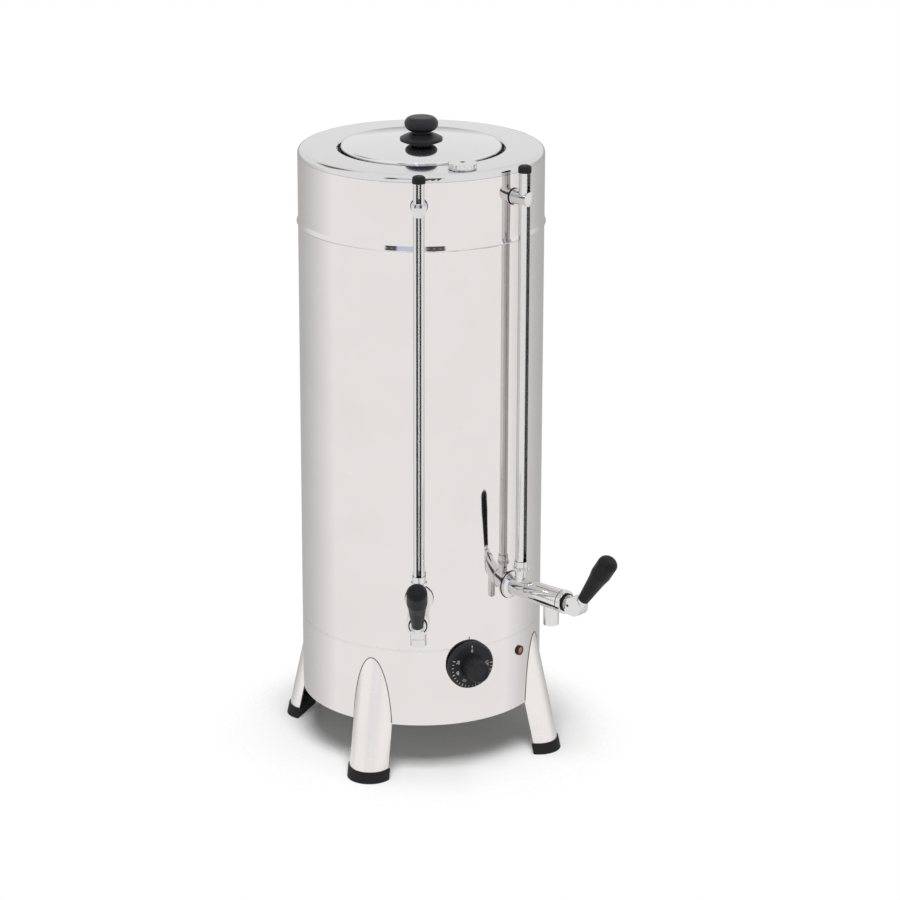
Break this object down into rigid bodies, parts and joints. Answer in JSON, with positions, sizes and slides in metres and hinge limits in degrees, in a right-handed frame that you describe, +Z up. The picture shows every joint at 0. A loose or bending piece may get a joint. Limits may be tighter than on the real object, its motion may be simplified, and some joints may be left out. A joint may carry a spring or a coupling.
{
  "type": "coffee urn",
  "caption": "Free-standing electric coffee urn: polished steel drum on splayed legs, lift-off lid over a coffee pot, lever taps below slotted level gauges, thermostat dial in the base",
  "frame": {"origin": "on the floor, on the axis of the drum", "axes": "+Z up along the drum, -Y the front with the thermostat dial, +X to the right seen from the front"},
  "size_m": [0.262, 0.3938, 0.6945],
  "materials": {
    "polished_steel": "polished stainless steel",
    "plain_steel": "plain stainless steel",
    "satin_steel": "satin stainless steel",
    "foot_rubber": "matte",
    "zinc_steel": "zinc plated",
    "heater_steel": "dull",
    "brass": "machined",
    "thermostat_plastic": "matte",
    "dial_plastic": "satin, with a printed scale",
    "bezel_plastic": "gloss",
    "lamp_amber": "translucent amber",
    "gland_plastic": "matte",
    "chrome_fittings": "chrome plated",
    "knob_plastic": "satin",
    "seal_rubber": "matte",
    "spring_steel": "drawn wire",
    "handle_plastic": "satin",
    "gauge_glass": "clear",
    "cap_rubber": "matte"
  },
  "bodies": {
    "urn": {"base_skirt": "polished_steel", "base_plate": "plain_steel", "base_screws": "zinc_steel", "tank_floor": "plain_steel", "outer_shell": "polished_steel", "top_collar": "polished_steel", "deck_ring": "polished_steel", "coffee_pot": "plain_steel", "coffee_outlet_pipe": "plain_steel", "heating_element": "heater_steel", "gland_nuts": "brass", "thermostat_body": "thermostat_plastic", "thermostat_bulb": "brass", "pilot_bezel": "bezel_plastic", "pilot_lens": "lamp_amber", "cord_gland": "gland_plastic", "filler_neck": "plain_steel", "lock_nuts": "brass", "leg_front_left": "satin_steel", "leg_front_right": "satin_steel", "leg_back_left": "satin_steel", "leg_back_right": "satin_steel", "foot_front_left": "foot_rubber", "foot_front_right": "foot_rubber", "foot_back_left": "foot_rubber", "foot_back_right": "foot_rubber", "left_tap_flange": "chrome_fittings", "left_tap_body": "chrome_fittings", "left_bonnet": "chrome_fittings", "left_spring": "spring_steel", "right_tap_flange": "chrome_fittings", "right_tap_body": "chrome_fittings", "right_bonnet": "chrome_fittings", "right_spring": "spring_steel", "left_guard_tube": "chrome_fittings", "left_glass": "gauge_glass", "left_gauge_cap": "cap_rubber", "left_collar_nut": "chrome_fittings", "left_post": "chrome_fittings", "right_guard_tube": "chrome_fittings", "right_glass": "gauge_glass", "right_gauge_cap": "cap_rubber", "right_collar_nut": "chrome_fittings", "right_post": "chrome_fittings"},
    "lid": {"lid": "polished_steel", "lid_knob": "knob_plastic", "lid_screw": "zinc_steel"},
    "filler_cap": {"filler_cap": "chrome_fittings"},
    "dial": {"dial": "dial_plastic", "dial_shaft": "zinc_steel"},
    "left_plunger": {"left_plunger": "brass", "left_seat_seal": "seal_rubber", "left_lever_pin": "zinc_steel"},
    "left_lever": {"left_lever_head": "chrome_fittings", "left_handle": "handle_plastic"},
    "right_plunger": {"right_plunger": "brass", "right_seat_seal": "seal_rubber", "right_lever_pin": "zinc_steel"},
    "right_lever": {"right_lever_head": "chrome_fittings", "right_handle": "handle_plastic"}
  },
  "joints": [
    {"name": "lid_lift", "type": "slide", "parent": "urn", "child": "lid", "axis": [0, 0, 1], "range_m": [0, 0.15]},
    {"name": "filler_cap_lift", "type": "slide", "parent": "urn", "child": "filler_cap", "axis": [0, 0, 1], "range_m": [0, 0.05]},
    {"name": "thermostat_turn", "type": "hinge", "parent": "urn", "child": "dial", "pos_m": [0, -0.131, 0.127], "axis": [0, 1, 0], "range_deg": [0, 270]},
    {"name": "left_plunger_slide", "type": "slide", "parent": "urn", "child": "left_plunger", "axis": [-0.4067, -0.9135, 0], "range_m": [0, 0.0041], "deforming": ["left_spring"]},
    {"name": "left_lever_pull", "type": "hinge", "parent": "left_plunger", "child": "left_lever", "pos_m": [-0.08765, -0.19687, 0.2055], "axis": [0.9135, -0.4067, 0], "range_deg": [0, 55], "stiffness_Nm_per_rad": 0.3, "springref_deg": -22.92},
    {"name": "right_plunger_slide", "type": "slide", "parent": "urn", "child": "right_plunger", "axis": [0.4067, -0.9135, 0], "range_m": [0, 0.0041], "deforming": ["right_spring"]},
    {"name": "right_lever_pull", "type": "hinge", "parent": "right_plunger", "child": "right_lever", "pos_m": [0.08765, -0.19687, 0.2055], "axis": [0.9135, 0.4067, 0], "range_deg": [0, 55], "stiffness_Nm_per_rad": 0.3, "springref_deg": -22.92}
  ],
  "couplings": [
    {"joint": "left_plunger_slide", "follows": "left_lever_pull", "m_per_rad": 0.004167},
    {"joint": "right_plunger_slide", "follows": "right_lever_pull", "m_per_rad": 0.004167}
  ]
}
